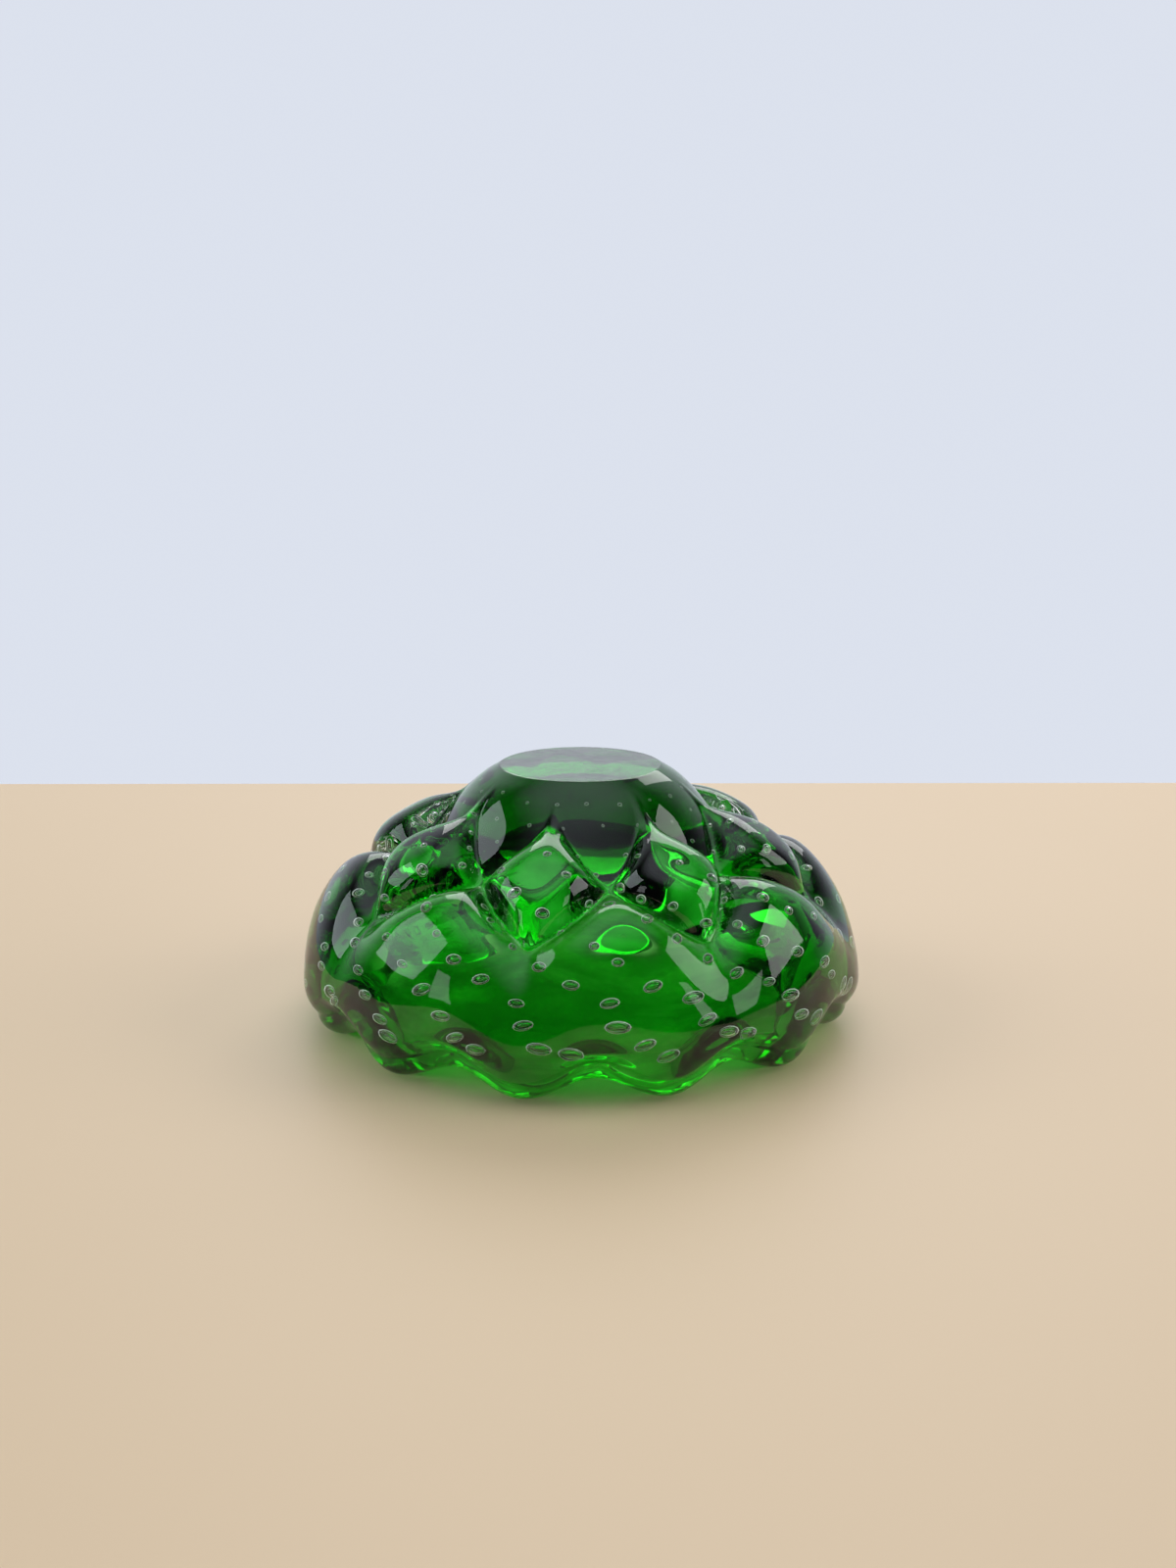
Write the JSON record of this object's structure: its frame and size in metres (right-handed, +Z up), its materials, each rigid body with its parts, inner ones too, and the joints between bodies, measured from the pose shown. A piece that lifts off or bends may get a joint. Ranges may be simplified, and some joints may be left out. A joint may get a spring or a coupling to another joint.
{
  "type": "glass bowl",
  "caption": "Heavy round bowl of green glass cased in clear glass, with raised pods, trapped bubbles, a scalloped rim and a polished base; it stands upside down on its rim.",
  "frame": {"origin": "on the resting plane through the rim tips, under the centre of the bowl", "axes": "+Z up from the rim to the polished base, -Y towards the viewer of the picture, +X to the viewer's right"},
  "size_m": [0.1496, 0.1496, 0.068],
  "materials": {
    "clear_glass": "fire-polished clear glass with trapped bubbles",
    "green_glass": "fire-polished emerald green glass"
  },
  "bodies": {
    "root": {"clear_casing": "clear_glass", "green_core": "green_glass"}
  },
  "joints": []
}
